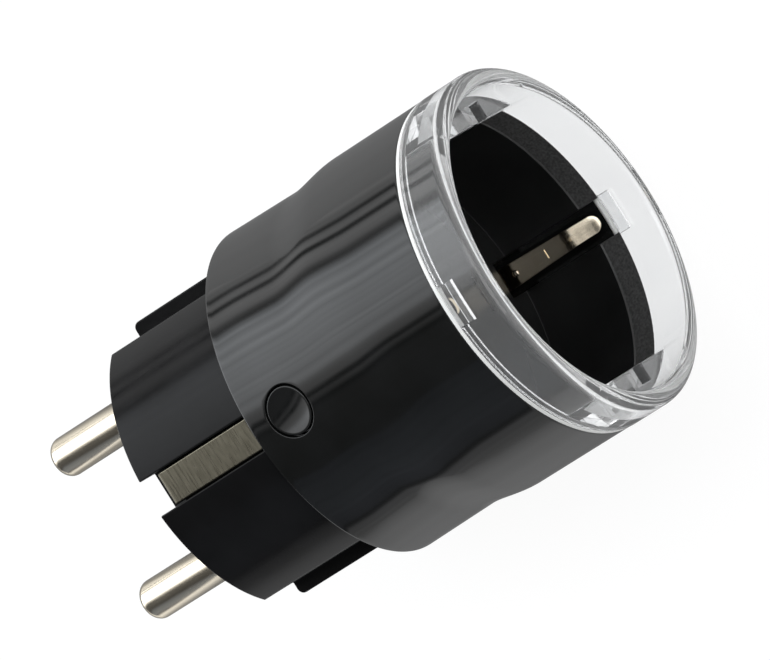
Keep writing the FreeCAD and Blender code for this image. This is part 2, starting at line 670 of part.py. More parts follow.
def leds():
    half = LED_SIZE / 2
    top = LED_BOARD_Z[1]
    chips = []
    for side in SIDES:
        x = side * LED_X
        chips.append(box((x - half, x + half), (-half, half), (top, top + LED_THICK)))
    return Part.makeCompound(chips)


NODES = {
    "plug_base": plug_base(),
    "pin_left": pin(-1),
    "pin_right": pin(1),
    "pin_clamp_plate": pin_clamp_plate(),
    "earth_contact_top": earth_contact(),
    "earth_contact_bottom": mirrored(earth_contact()),
    "earth_bridge": earth_bridge(),
    "earth_yoke": earth_yoke(),
    "earth_clip_top": earth_clip(),
    "earth_clip_bottom": mirrored(earth_clip()),
    "housing_shell": housing_shell(),
    "power_button": power_button(),
    "button_switch": tact_switch(),
    "diffuser_ring": diffuser_ring(),
    "light_ring": light_ring(),
    "light_guide_left": light_guide(-1),
    "light_guide_right": light_guide(1),
    "socket_insert": socket_insert(),
    "safety_shutter": safety_shutter(),
    "shutter_screw": shutter_screw(),
    "shutter_spring": shutter_spring(),
    "contact_sleeve_left": contact_sleeve(-1),
    "contact_sleeve_right": contact_sleeve(1),
    "main_board": main_board(),
    "control_board": control_board(),
    "radio_module": radio_module(),
    "relay": relay(),
    "capacitors": capacitors(),
    "inductor": inductor(),
    "fuse": fuse(),
    "varistor": varistor(),
    "current_shunt": current_shunt(),
    "led_board": led_board(),
    "leds": leds(),
}

os.makedirs("parts", exist_ok=True)
for name, shape in NODES.items():
    shape.rotate(Vec(0, 0, 0), Vec(1, 0, 0), 90)
    print(name, shape.isValid(), len(shape.Solids), round(shape.Volume, 1))
    shape.exportStep("parts/" + name + ".step")
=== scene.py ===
import json
import math

import bmesh
import bpy
from mathutils import Matrix, Vector


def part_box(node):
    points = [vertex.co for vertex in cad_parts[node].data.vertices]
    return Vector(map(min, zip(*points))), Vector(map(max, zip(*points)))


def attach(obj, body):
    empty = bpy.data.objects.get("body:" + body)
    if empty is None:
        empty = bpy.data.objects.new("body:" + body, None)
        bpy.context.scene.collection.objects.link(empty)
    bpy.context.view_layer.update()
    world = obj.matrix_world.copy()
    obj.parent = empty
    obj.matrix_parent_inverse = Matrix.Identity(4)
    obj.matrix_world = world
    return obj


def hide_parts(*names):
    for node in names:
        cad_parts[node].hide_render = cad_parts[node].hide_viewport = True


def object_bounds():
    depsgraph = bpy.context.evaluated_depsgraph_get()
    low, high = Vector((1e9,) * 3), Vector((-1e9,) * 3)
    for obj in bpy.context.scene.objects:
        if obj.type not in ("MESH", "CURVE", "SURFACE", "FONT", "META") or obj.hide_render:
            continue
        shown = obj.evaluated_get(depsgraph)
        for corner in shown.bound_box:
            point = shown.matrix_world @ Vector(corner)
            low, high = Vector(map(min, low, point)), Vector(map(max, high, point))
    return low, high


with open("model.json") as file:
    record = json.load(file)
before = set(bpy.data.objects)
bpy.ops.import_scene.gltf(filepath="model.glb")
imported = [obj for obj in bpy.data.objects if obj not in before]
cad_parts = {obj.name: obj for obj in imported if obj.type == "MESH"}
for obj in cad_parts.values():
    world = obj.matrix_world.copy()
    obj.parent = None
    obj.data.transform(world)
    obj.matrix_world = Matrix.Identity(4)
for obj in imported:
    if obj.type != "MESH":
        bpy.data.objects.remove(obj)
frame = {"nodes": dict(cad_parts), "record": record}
cad_low, cad_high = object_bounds()

# The looks of a round smart plug. Sizes are in millimetres in the plug's own frame: x runs along the line
# of the pins, y points to the button side, and z runs from the rear face (0) to the socket mouth.
MM = 0.001


def to_row(x, y, z):
    """A point of the plug's own frame, in mm, as a point of the row frame, in metres."""
    return Vector((x, -z, y)) * MM


def limits(node):
    """A CAD node's limits along the plug's own x, y and z, in mm."""
    low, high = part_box(node)
    return (low.x / MM, high.x / MM), (low.z / MM, high.z / MM), (-high.y / MM, -low.y / MM)


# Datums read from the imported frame
PIN_BOX = limits("pin_right")
BASE_BOX = limits("plug_base")
HOUSING_BOX = limits("housing_shell")
RING_BOX = limits("light_ring")
DIFFUSER_BOX = limits("diffuser_ring")
BUTTON_BOX = limits("power_button")
EARTH_BOX = limits("earth_contact_top")
CLIP_BOX = limits("earth_clip_top")

SEGMENTS = 240
FINE_SEGMENTS = 288
PIN_SEGMENTS = 96
HOLE_SEGMENTS = 72
OVERCUT = 1
HOUSING_START, HOUSING_END = HOUSING_BOX[2]
BASE_END = HOUSING_START
RING_END = RING_BOX[2][1]
RING_R = RING_BOX[0][1]
RING_START = RING_BOX[2][0]
PIN_R = 2.4
PIN_SHOULDER_R = 2.6
PIN_X = 9.5
PIN_TIP_ROUND = 1.4
PIN_TIP_CROWN = (0.6, 0.004)
PIN_SHOULDER = (-0.02, 0.1)
PIN_SEAT_GAP = 0.12
PIN_SEAT_DEPTH = 0.5

# Housing form
HOUSING_FRONT_R = HOUSING_BOX[0][1]
HOUSING_BACK_X = 20.6
HOUSING_WAIST_X = 20.4
HOUSING_BACK_Y = 19.3
FLARE_START = 26.5
FLARE_END = 33.0
RISE_START = 16.5
RISE_END = 38.0
RISE_ROUND = 0.2
HOUSING_EDGE = 0.35
HOUSING_RIM = 0.12
HOUSING_WALL = 1.1
HOUSING_BACK_WALL = 1.5
BACK_HOLE_R = 17.7
BACK_HOLE_X = 15.1
ROW_STEP = 0.5

# Button
BUTTON_Z = (BUTTON_BOX[2][0] + BUTTON_BOX[2][1]) / 2
BUTTON_R = 2.85
BUTTON_HOLE_R = 3.1
BUTTON_HOLE_ROUND = 0.1
BUTTON_ROUND = 0.12
BUTTON_DISH = 0.4
BUTTON_SUNK = 0.02
BUTTON_SKIRT_Y = 17.75
BUTTON_FLANGE_Y = (17.0, 17.7)
BUTTON_STEM_R = 1.6
BUTTON_AROUND = 96
BUTTON_CIRCLES = 14
PATCH_CELLS = 8
PATCH_RINGS = 6

# Base
BASE_R = BASE_BOX[1][1]
BASE_FLAT_X = 16.1
RAIL_X = BASE_BOX[0][1]
RAIL_Y = (2.8, 4.7)
RAIL_START = 1.6
RAIL_CORNER = 0.8
SLOT_HALF = 2.2
SLOT_Y = 16.9
NOTCH_Y = 14.8
FACE_WALL = 3.0
BASE_EDGE = 0.16

# Side earth contacts
EARTH_THICK = 1.0
EARTH_FOLD_R = 0.7
EARTH_EDGE = 0.2

# Socket insert
FLOOR_TOP = 33.4
RECESS_R = 19.2
RECESS_FLAT_X = 16.2
LEAD_IN = 0.35
LEAD_IN_START = 44.7
LEAD_IN_STEP = 0.15
POST_R = 1.55
POST_START = 28.3
SCREW_R = 0.85
SCREW_HOLE_END = 31.4
CHANNEL_Y = (2.6, 4.9)
CHANNEL_X = 18.1
CHANNEL_INNER_X = 15
GUIDE_POCKET_X = (17.6, 19.2)
GUIDE_POCKET_HALF = 1.6
SOCKET_HOLE_R = 2.7
CLIP_SLOT_HALF = 2.25
CLIP_SLOT_Y = 15.8
INSERT_R = 19.9
INSERT_FOOT_R = 19.5
INSERT_FOOT_END = 35.0
INSERT_START = 31.8
INSERT_TOP = 47.3
TOUCH_GAP = 0.02
WELL_EDGE = 0.05

# Light ring
RING_ROUND = 1.3
RING_MOUTH_R = 19.05
RING_INNER_ROUND = 0.8
RING_SEAT_R = 19.5
SEAT_R = 20.0
TAB_END = 48.9
TAB_X = 15.9
WINDOW_HALF = 2.5
WINDOW_Y = (19.8, 20.8)
WINDOW_END = 48.7
RING_FOOT_EDGE = 0.08
RING_FOOT = 2.4
RING_EDGE = 0.06
TAB_OVERLAP = 0.3
DIFFUSER_EDGE = 0.06

# Earth clips of the socket. The path is (y, z), and the pad is its span in x, its span in z and its rise.
CLIP_PATH = (
    (17.6, 29.7), (17.6, 32.5), (17.55, 35.5), (17.4, 38.5), (17.1, 41.2), (17.1, 42.5), (17.7, 44.3),
    (18.5, 46.5),
)
CLIP_STEPS = 84
CLIP_CROWDING = 1.25
CLIP_THICK = 0.5
CLIP_ROOT_HALF = 1.5
CLIP_TIP_HALF = 1.1
CLIP_TIP_MIN = 0.02
CLIP_EDGE = 0.12
CLIP_PAD = ((-0.55, 0.55), (37.2, 39.2), 0.12)
CLIP_DIMPLE_Z = 34.4
CLIP_DIMPLE_R = 0.45
CLIP_DIMPLE_RISE = 0.22

SIDES = (1, -1)


# ---------------------------------------------------------------- mesh helpers

def add_object(name, verts, faces):
    """A mesh object from points in the plug's own frame, with doubles merged and faces turned outwards."""
    mesh = bpy.data.meshes.new(name)
    mesh.from_pydata([to_row(*v) for v in verts], [], faces)
    bm = bmesh.new()
    bm.from_mesh(mesh)
    bmesh.ops.remove_doubles(bm, verts=bm.verts, dist=1e-7)
    bmesh.ops.recalc_face_normals(bm, faces=bm.faces)
    for face in bm.faces:
        face.smooth = True
    bm.to_mesh(mesh)
    bm.free()
    obj = bpy.data.objects.new(name, mesh)
    bpy.context.scene.collection.objects.link(obj)
    return obj


def arc(cx, cy, radius, start, end, steps=8):
    """Points along an arc, by angles in degrees."""
    angles = [math.radians(start + (end - start) * i / steps) for i in range(steps + 1)]
    return [(cx + radius * math.cos(a), cy + radius * math.sin(a)) for a in angles]


def lathe(name, profile, segments=SEGMENTS, centre=(0.0, 0.0)):
    """A profile of (radius, z) points turned about z, left open where it starts and ends on the axis."""
    count = len(profile)
    on_axis = profile[0][0] < 1e-9 and profile[-1][0] < 1e-9
    verts, faces = [], []
    for i in range(segments):
        angle = 2 * math.pi * i / segments
        c, s = math.cos(angle), math.sin(angle)
        verts += [(centre[0] + r * c, centre[1] + r * s, z) for r, z in profile]
    for i in range(segments):
        here, there = i * count, (i + 1) % segments * count
        for k in range(count - 1 if on_axis else count):
            m = (k + 1) % count
            faces.append((here + k, there + k, there + m, here + m))
    return add_object(name, verts, faces)


def loft(name, loops):
    """A closed solid through loops of points, all with the same number of points."""
    count = len(loops[0])
    verts = [p for loop in loops for p in loop]
    faces = [tuple(range(count)), tuple((len(loops) - 1) * count + k for k in range(count))]
    for i in range(len(loops) - 1):
        for k in range(count):
            m = (k + 1) % count
            faces.append((i * count + k, i * count + m, (i + 1) * count + m, (i + 1) * count + k))
    return add_object(name, verts, faces)


def prism(name, outline, span, axis="z"):
    """An outline run along x, y or z. It is given as (x, y), (x, z) along y, or (y, z) along x."""
    place = {
        "z": lambda u, v, w: (u, v, w),
        "y": lambda u, v, w: (u, w, v),
        "x": lambda u, v, w: (w, u, v),
    }[axis]
    return loft(name, [[place(u, v, w) for u, v in outline] for w in span])


def rectangle(x, y):
    return [(x[0], y[0]), (x[1], y[0]), (x[1], y[1]), (x[0], y[1])]


def block(name, x, y, z):
    return prism(name, rectangle(sorted(x), sorted(y)), sorted(z))


def flatted_circle(radius, half_width, steps=96):
    """A circle with two flats, at +x and -x."""
    reach = math.degrees(math.acos(min(half_width / radius, 1.0)))
    return arc(0, 0, radius, reach, 180 - reach, steps) + arc(0, 0, radius, 180 + reach, 360 - reach, steps)


def bake(obj):
    """Turns an object's modifiers into its mesh."""
    depsgraph = bpy.context.evaluated_depsgraph_get()
    mesh = bpy.data.meshes.new_from_object(obj.evaluated_get(depsgraph))
    obj.modifiers.clear()
    old = obj.data
    obj.data = mesh
    bpy.data.meshes.remove(old)
    mesh.name = obj.name


def carve(obj, operation, tools):
    """Cuts or joins other solids, and removes them."""
    for tool in tools:
        step = obj.modifiers.new("carve", "BOOLEAN")
        step.operation = operation
        step.solver = "EXACT"
        step.object = tool
    bpy.context.view_layer.update()
    bake(obj)
    for tool in tools:
        bpy.data.objects.remove(tool)
    for polygon in obj.data.polygons:
        polygon.use_smooth = True


def soften(obj, width, angle=35, segments=3):
    """Rounds the sharp edges a little, as moulded or punched edges are, and keeps flat faces flat."""
    bevel = obj.modifiers.new("edge_round", "BEVEL")
    bevel.width = width * MM
    bevel.segments = segments
    bevel.limit_method = "ANGLE"
    bevel.angle_limit = math.radians(angle)
    bevel.miter_outer = "MITER_ARC"
    bevel.use_clamp_overlap = False
    normals = obj.modifiers.new("flat_faces", "WEIGHTED_NORMAL")
    normals.mode = "FACE_AREA"
    normals.keep_sharp = False


# ------------------------------------------------------------------- materials

SPECK_SCALE = 2.5
SPECK_LIMITS = (0.66, 0.74)


def node(tree, kind, **settings):
    made = tree.nodes.new("ShaderNode" + kind)
    for key, value in settings.items():
        if hasattr(made, key):
            setattr(made, key, value)
        else:
            made.inputs[key.replace("_", " ")].default_value = value
    return made


def noise(tree, coords, scale, detail=3.0, stretch=(1, 1, 1)):
    """Noise with a scale in cycles per millimetre, drawn out along chosen axes."""
    mapping = node(tree, "Mapping")
    mapping.inputs["Scale"].default_value = [scale * s / MM for s in stretch]
    tree.links.new(coords.outputs["Object"], mapping.inputs["Vector"])
    made = node(tree, "TexNoise")
    made.inputs["Scale"].default_value = 1.0
    made.inputs["Detail"].default_value = detail
    tree.links.new(mapping.outputs["Vector"], made.inputs["Vector"])
    return made.outputs["Fac"]


def remap(tree, source, low, high, start=0.3, end=0.7):
    made = node(tree, "MapRange")
    for key, value in (("From Min", start), ("From Max", end), ("To Min", low), ("To Max", high)):
        made.inputs[key].default_value = value
    tree.links.new(source, made.inputs["Value"])
    return made.outputs["Result"]


def finish_material(
    name,
    tones,
    rough,
    drift=0.15,
    drift_stretch=(1, 1, 1),
    grain=6.0,
    grain_stretch=(1, 1, 1),
    grain_height=0.002,
    wave=0.1,
    wave_stretch=(1, 1, 1),
    wave_height=0.0,
    speck=0.0,
    **sockets,
):
    """A procedural finish. Colour drifts between two tones and roughness between two values. A fine grain
    and a slow waviness raise the surface, and small dots of dust or pitting are rougher."""
    mat = bpy.data.materials.new(name)
    mat.use_nodes = True
    tree = mat.node_tree
    shader = tree.nodes["Principled BSDF"]
    coords = node(tree, "TexCoord")
    slow = noise(tree, coords, drift, stretch=drift_stretch)
    fine = noise(tree, coords, grain, stretch=grain_stretch)
    blend = node(tree, "Mix", data_type="RGBA")
    blend.inputs[6].default_value = (*tones[0], 1)
    blend.inputs[7].default_value = (*tones[1], 1)
    tree.links.new(remap(tree, slow, 0, 1), blend.inputs[0])
    tree.links.new(blend.outputs[2], shader.inputs["Base Color"])
    streaks = noise(tree, coords, grain / 3, stretch=grain_stretch)
    level = remap(tree, streaks, rough[0], rough[1])
    if speck:
        dots = remap(tree, noise(tree, coords, SPECK_SCALE, 1.0), 0, speck, *SPECK_LIMITS)
        add = node(tree, "Math", operation="ADD")
        tree.links.new(level, add.inputs[0])
        tree.links.new(dots, add.inputs[1])
        level = add.outputs[0]
    tree.links.new(level, shader.inputs["Roughness"])
    bump = node(tree, "Bump")
    bump.inputs["Distance"].default_value = grain_height * MM
    tree.links.new(fine, bump.inputs["Height"])
    if wave_height:
        slow_bump = node(tree, "Bump")
        slow_bump.inputs["Distance"].default_value = wave_height * MM
        tree.links.new(noise(tree, coords, wave, 1.0, wave_stretch), slow_bump.inputs["Height"])
        tree.links.new(slow_bump.outputs["Normal"], bump.inputs["Normal"])
    tree.links.new(bump.outputs["Normal"], shader.inputs["Normal"])
    for key, value in sockets.items():
        shader.inputs[key.replace("_", " ")].default_value = value
    return mat


ALONG = (1.0, 0.04, 1.0)
ALONG_SOFT = (1.0, 0.12, 1.0)

MATERIALS = {
    "housing_plastic": finish_material(
        "gloss_black", ((0.006, 0.0063, 0.006), (0.009, 0.0094, 0.0095)), (0.05, 0.11),
        grain=3.0, grain_stretch=ALONG, grain_height=0.0002, wave=0.16, wave_stretch=ALONG_SOFT,
        wave_height=0.006, speck=0.03,
    ),
    "button_plastic": finish_material(
        "button_black", ((0.006, 0.0063, 0.006), (0.009, 0.0094, 0.0095)), (0.06, 0.12), grain=4.0,
        grain_height=0.0005, wave=0.3, wave_height=0.008,
    ),
    "base_plastic": finish_material(
        "satin_black", ((0.006, 0.006, 0.0062), (0.009, 0.009, 0.0095)), (0.13, 0.2),
        grain=5.0, grain_stretch=(1, 0.3, 1), grain_height=0.0008, wave=0.12, wave_stretch=ALONG_SOFT,
        wave_height=0.01, speck=0.05, Specular_IOR_Level=0.14,
    ),
    "insert_plastic": finish_material(
        "well_black", ((0.004, 0.0042, 0.0042), (0.008, 0.0083, 0.0085)), (0.28, 0.42), grain=4.5,
        grain_height=0.003, speck=0.12,
    ),
    "clear_plastic": finish_material(
        "clear_polycarbonate", ((0.97, 0.98, 0.985), (0.94, 0.95, 0.96)), (0.0, 0.03), grain=1.2,
        grain_height=0.0003, wave=0.22, wave_height=0.008, Transmission_Weight=0.965, IOR=1.58,
    ),
    "diffuser_white": finish_material(
        "milky_white", ((0.86, 0.86, 0.84), (0.92, 0.92, 0.9)), (0.4, 0.5), grain=5.0, grain_height=0.002,
    ),
    "nickel": finish_material(
        "nickel_pin", ((0.8, 0.72, 0.58), (0.9, 0.82, 0.67)), (0.15, 0.24), grain=9.0,
        grain_stretch=(1, 0.12, 1), grain_height=0.0003, speck=0.04, Metallic=1.0,
    ),
    "earth_metal": finish_material(
        "brushed_earth_strip", ((0.2, 0.185, 0.14), (0.26, 0.24, 0.185)), (0.24, 0.36), drift=2.5,
        drift_stretch=(0.3, 1, 1), grain=14.0, grain_stretch=(0.06, 1, 1), grain_height=0.001, Metallic=1.0,
    ),
    "clip_metal": finish_material(
        "earth_clip_strip", ((0.6, 0.52, 0.4), (0.78, 0.7, 0.56)), (0.12, 0.2), grain=12.0,
        grain_stretch=(1, 0.03, 1), grain_height=0.0007, Metallic=1.0,
    ),
}

LEAD_IN_FINISH = finish_material(
    "speckled_lead_in", ((0.02, 0.02, 0.02), (0.07, 0.07, 0.07)), (0.4, 0.6), drift=3.5, grain=7.0,
    grain_height=0.006, speck=0.2,
)

# Finishes of the parts inside: two tones, two roughness values, grain in cycles per mm, its height, and
# metalness
INNER_FINISHES = {
    "insulator": (((0.02, 0.02, 0.022), (0.032, 0.032, 0.034)), (0.4, 0.55), 4.0, 0.004, 0.0),
    "switch_body": (((0.02, 0.02, 0.02), (0.035, 0.035, 0.035)), (0.35, 0.5), 5.0, 0.003, 0.0),
    "shutter_plastic": (((0.008, 0.008, 0.009), (0.014, 0.014, 0.015)), (0.35, 0.5), 4.0, 0.004, 0.0),
    "screw_steel": (((0.5, 0.5, 0.48), (0.62, 0.62, 0.6)), (0.25, 0.4), 8.0, 0.002, 1.0),
    "spring_steel": (((0.4, 0.4, 0.4), (0.55, 0.55, 0.55)), (0.2, 0.32), 10.0, 0.001, 1.0),
    "contact_brass": (((0.62, 0.42, 0.15), (0.74, 0.54, 0.22)), (0.25, 0.4), 9.0, 0.001, 1.0),
    "board_green": (((0.008, 0.06, 0.022), (0.014, 0.085, 0.034)), (0.3, 0.42), 3.0, 0.006, 0.0),
    "board_white": (((0.66, 0.66, 0.63), (0.76, 0.76, 0.73)), (0.35, 0.5), 3.0, 0.006, 0.0),
    "shield_can": (((0.55, 0.55, 0.54), (0.68, 0.68, 0.67)), (0.28, 0.42), 6.0, 0.003, 1.0),
    "relay_case": (((0.005, 0.03, 0.1), (0.008, 0.045, 0.14)), (0.3, 0.42), 3.0, 0.004, 0.0),
    "capacitor_sleeve": (((0.008, 0.008, 0.012), (0.014, 0.014, 0.02)), (0.2, 0.32), 2.0, 0.006, 0.0),
    "ferrite": (((0.03, 0.03, 0.032), (0.055, 0.055, 0.058)), (0.55, 0.75), 5.0, 0.012, 0.0),
    "fuse_body": (((0.35, 0.33, 0.28), (0.46, 0.44, 0.38)), (0.3, 0.45), 3.0, 0.004, 0.0),
    "varistor_coating": (((0.015, 0.05, 0.16), (0.025, 0.07, 0.22)), (0.35, 0.5), 2.5, 0.015, 0.0),
    "shunt_alloy": (((0.42, 0.34, 0.26), (0.55, 0.45, 0.35)), (0.3, 0.45), 8.0, 0.002, 1.0),
    "led_lens": (((0.7, 0.62, 0.2), (0.8, 0.72, 0.28)), (0.2, 0.35), 4.0, 0.002, 0.0),
}
for slot_name, (tones, rough, grain, height, metalness) in INNER_FINISHES.items():
    MATERIALS[slot_name] = finish_material(
        slot_name + "_finish", tones, rough, grain=grain, grain_height=height, drift=0.6, speck=0.06,
        Metallic=metalness,
    )


# ------------------------------------------------------------------- pieces

def smooth_step(t):
    t = min(max(t, 0.0), 1.0)
    return t * t * (3 - 2 * t)


def even_rise(t):
    """A straight rise from 0 to 1 with both ends rounded."""
    t = min(max(t, 0.0), 1.0)
    steepness = 2 * RISE_ROUND * (1 - RISE_ROUND)
    if t < RISE_ROUND:
        return t * t / steepness
    if t > 1 - RISE_ROUND:
        return 1 - (1 - t) ** 2 / steepness
    return (t - RISE_ROUND / 2) / (1 - RISE_ROUND)


def housing_axes(z):
    """Half width along x and half height along y of the housing's oval section."""
    waist = min(max((z - HOUSING_START) / (FLARE_START - HOUSING_START), 0.0), 1.0)
    half_x = HOUSING_BACK_X + (HOUSING_WAIST_X - HOUSING_BACK_X) * waist
    half_x += (HOUSING_FRONT_R - half_x) * smooth_step((z - FLARE_START) / (FLARE_END - FLARE_START))
    rise = even_rise((z - RISE_START) / (RISE_END - RISE_START))
    return half_x, HOUSING_BACK_Y + (HOUSING_FRONT_R - HOUSING_BACK_Y) * rise


def housing_height(x, z, inset=0.0):
    """The y of the housing's surface above a point, on the button side."""
    a, b = housing_axes(z)
    return (b - inset) * math.sqrt(max(1 - (x / (a - inset)) ** 2, 0.0))


def oval_row(z, inset):
    a, b = housing_axes(z)
    turns = [2 * math.pi * i / SEGMENTS for i in range(SEGMENTS)]
    return [((a - inset) * math.cos(t), (b - inset) * math.sin(t), z) for t in turns]


def back_hole_row(z):
    row = []
    for i in range(SEGMENTS):
        t = 2 * math.pi * i / SEGMENTS
        r = min(BACK_HOLE_R, BACK_HOLE_X / max(abs(math.cos(t)), 1e-6))
        row.append((r * math.cos(t), r * math.sin(t), z))
    return row


def housing():
    """The shell, as one closed grid with a round hole for the button let into it."""
    first = math.ceil((HOUSING_START + HOUSING_EDGE + 0.1 - BUTTON_Z) / ROW_STEP)
    last = math.floor((HOUSING_END - HOUSING_RIM - 0.1 - BUTTON_Z) / ROW_STEP)
    levels = [BUTTON_Z + k * ROW_STEP for k in range(first, last + 1)]
    rows = [back_hole_row(HOUSING_START)]
    for inset, rise in arc(HOUSING_EDGE, HOUSING_EDGE, HOUSING_EDGE, 270, 180, 6):
        rows.append(oval_row(HOUSING_START + rise, inset))
    outer_start = len(rows)
    rows += [oval_row(z, 0.0) for z in levels]
    for inset, rise in arc(HOUSING_RIM, -HOUSING_RIM, HOUSING_RIM, 180, 90, 3):
        rows.append(oval_row(HOUSING_END + rise, inset))
    rows.append(oval_row(HOUSING_END, HOUSING_WALL))
    inner_start = len(rows)
    inner_levels = [z for z in levels[::-1] if z > HOUSING_START + HOUSING_BACK_WALL + 0.1]
    rows += [oval_row(z, HOUSING_WALL) for z in inner_levels]
    rows.append(oval_row(HOUSING_START + HOUSING_BACK_WALL, HOUSING_WALL))
    rows.append(back_hole_row(HOUSING_START + HOUSING_BACK_WALL))
    verts = [p for row in rows for p in row]
    top_column = SEGMENTS // 4
    columns = range(top_column - PATCH_CELLS, top_column + PATCH_CELLS)
    centre_rows = (outer_start + levels.index(BUTTON_Z), inner_start + inner_levels.index(BUTTON_Z))
    faces = []
    for i in range(len(rows)):
        below = (i + 1) % len(rows)
        in_patch = any(c - PATCH_CELLS <= i < c + PATCH_CELLS for c in centre_rows)
        for k in range(SEGMENTS):
            if in_patch and k in columns:
                continue
            m = (k + 1) % SEGMENTS
            faces.append((i * SEGMENTS + k, i * SEGMENTS + m, below * SEGMENTS + m, below * SEGMENTS + k))
    rims = []
    outer_rim = (centre_rows[0], 0.0, BUTTON_HOLE_ROUND)
    inner_rim = (centre_rows[1], HOUSING_WALL, 0.0)
    for centre_row, inset, edge in (outer_rim, inner_rim):
        low, high = -PATCH_CELLS, PATCH_CELLS
        around = [(low, c) for c in range(low, high)] + [(r, high) for r in range(low, high)]
        around += [(high, c) for c in range(high, low, -1)] + [(r, low) for r in range(high, low, -1)]
        ring = [(centre_row + r) * SEGMENTS + top_column + c for r, c in around]
        if centre_row == centre_rows[1]:
            ring = [(centre_row - r) * SEGMENTS + top_column + c for r, c in around]
        square = [(verts[v][0], verts[v][2]) for v in ring]
        turns = [math.atan2(z - BUTTON_Z, x) for x, z in square]
        steps = [(j / PATCH_RINGS, 0.0, 0.0) for j in range(1, PATCH_RINGS + 1)]
        if edge:
            steps += [(1.0, edge * math.sin(a), edge * (1 - math.cos(a))) for a in
                      [math.radians(90 * j / 5) for j in range(1, 6)]]
        for share, inwards, depth in steps:
            radius = BUTTON_HOLE_R + edge - inwards
            fresh = []
            for (x, z), t in zip(square, turns):
                px = x + (radius * math.cos(t) - x) * share
                pz = z + (BUTTON_Z + radius * math.sin(t) - z) * share
                fresh.append(len(verts))
                verts.append((px, housing_height(px, pz, inset) - depth, pz))
            for j in range(len(ring)):
                m = (j + 1) % len(ring)
                faces.append((ring[j], ring[m], fresh[m], fresh[j]))
            ring = fresh
        rims.append(ring)
    for j in range(len(rims[0])):
        m = (j + 1) % len(rims[0])
        faces.append((rims[0][j], rims[0][m], rims[1][m], rims[1][j]))
    shell = add_object("housing", verts, faces)
    slots = []
    for side in SIDES:
        reach = (side * BACK_HOLE_R - side, side * (EARTH_BOX[1][1] + 0.1))
        slots.append(block("slot", (-SLOT_HALF, SLOT_HALF), reach,
                           (HOUSING_START - 1, HOUSING_START + HOUSING_BACK_WALL + 0.2)))
    carve(shell, "DIFFERENCE", slots)
    shell.data.set_sharp_from_angle(angle=math.radians(40))
    return shell


def button():
    """The cap, with a shallow dish that follows the housing at its rim, and its flange and stem below."""
    rings, around = [], BUTTON_AROUND
    top = [(BUTTON_R * j / BUTTON_CIRCLES * (1 - BUTTON_ROUND / BUTTON_R), 0.0)
           for j in range(BUTTON_CIRCLES + 1)]
    top += [(BUTTON_R - BUTTON_ROUND + BUTTON_ROUND * math.sin(a), BUTTON_ROUND * (1 - math.cos(a)))
            for a in [math.radians(90 * j / 6) for j in range(1, 7)]]
    verts, faces = [], []
    for radius, drop in top:
        row = []
        share = radius / (BUTTON_R - BUTTON_ROUND)
        dish = BUTTON_DISH * max(1 - share ** 2, 0.0)
        for i in range(around):
            t = 2 * math.pi * i / around
            x, z = radius * math.cos(t), BUTTON_Z + radius * math.sin(t)
            row.append(len(verts))
            verts.append((x, housing_height(x, z) - dish - drop - BUTTON_SUNK, z))
        rings.append(row)
    low, flange_r = BUTTON_BOX[1][0], BUTTON_BOX[0][1]
    flange_low, flange_high = BUTTON_FLANGE_Y
    underside = (
        (BUTTON_R, BUTTON_SKIRT_Y), (flange_r, flange_high), (flange_r, flange_low),
        (BUTTON_STEM_R, flange_low), (BUTTON_STEM_R, low), (0.0, low),
    )
    for radius, y in underside:
        row = []
        for i in range(around):
            t = 2 * math.pi * i / around
            row.append(len(verts))
            verts.append((radius * math.cos(t), y, BUTTON_Z + radius * math.sin(t)))
        rings.append(row)
    for a, b in zip(rings, rings[1:]):
        for i in range(around):
            m = (i + 1) % around
            faces.append((a[i], a[m], b[m], b[i]))
    cap = add_object("button_cap", verts, faces)
    cap.data.set_sharp_from_angle(angle=math.radians(40))
    return cap


def light_ring():
    """The clear ring, with a tab over each flat of the recess and a pocket on each of its other sides."""
    profile = [(RING_R, RING_START + RING_FOOT_EDGE), (RING_R, RING_START + RING_FOOT)]
    profile += arc(RING_R - RING_ROUND, RING_END - RING_ROUND, RING_ROUND, 0, 90, 14)
    inner_x, inner_z = RING_MOUTH_R + RING_INNER_ROUND, RING_END - RING_INNER_ROUND
    profile += arc(inner_x, inner_z, RING_INNER_ROUND, 90, 180, 10)
    profile += [(RING_SEAT_R, INSERT_TOP), (SEAT_R, INSERT_TOP), (SEAT_R, RING_START)]
    profile += [(RING_R - RING_FOOT_EDGE, RING_START)]
    ring = lathe("light_ring_clear", profile, FINE_SEGMENTS)
    tabs = []
    for side in SIDES:
        reach = math.degrees(math.acos(TAB_X / (SEAT_R + TAB_OVERLAP)))
        low, high = CHANNEL_Y
        outline = [(TAB_X, high), (CHANNEL_X, high), (CHANNEL_X, low), (TAB_X, low)]
        outline += [(x, -y) for x, y in outline[::-1]]
        outline += arc(0, 0, SEAT_R + TAB_OVERLAP, -reach, reach, 40)
        tabs.append(prism("tab", [(side * x, y) for x, y in outline], (INSERT_TOP, TAB_END)))
    carve(ring, "UNION", tabs)
    windows = []
    for side in SIDES:
        y = (side * WINDOW_Y[0], side * WINDOW_Y[1])
        windows.append(block("window", (-WINDOW_HALF, WINDOW_HALF), y, (RING_START - 0.5, WINDOW_END)))
    carve(ring, "DIFFERENCE", windows)
    soften(ring, RING_EDGE, 40, 2)
    return ring


def diffuser():
    """The white band under the clear ring."""
    x, _, z = DIFFUSER_BOX
    edge, top = DIFFUSER_EDGE, z[1] - TOUCH_GAP
    profile = [(SEAT_R, z[0]), (x[1] - edge, z[0]), (x[1], z[0] + edge)]
    profile += [(x[1], top - edge), (x[1] - edge, top), (SEAT_R, top)]
    return lathe("diffuser_band", profile, FINE_SEGMENTS)


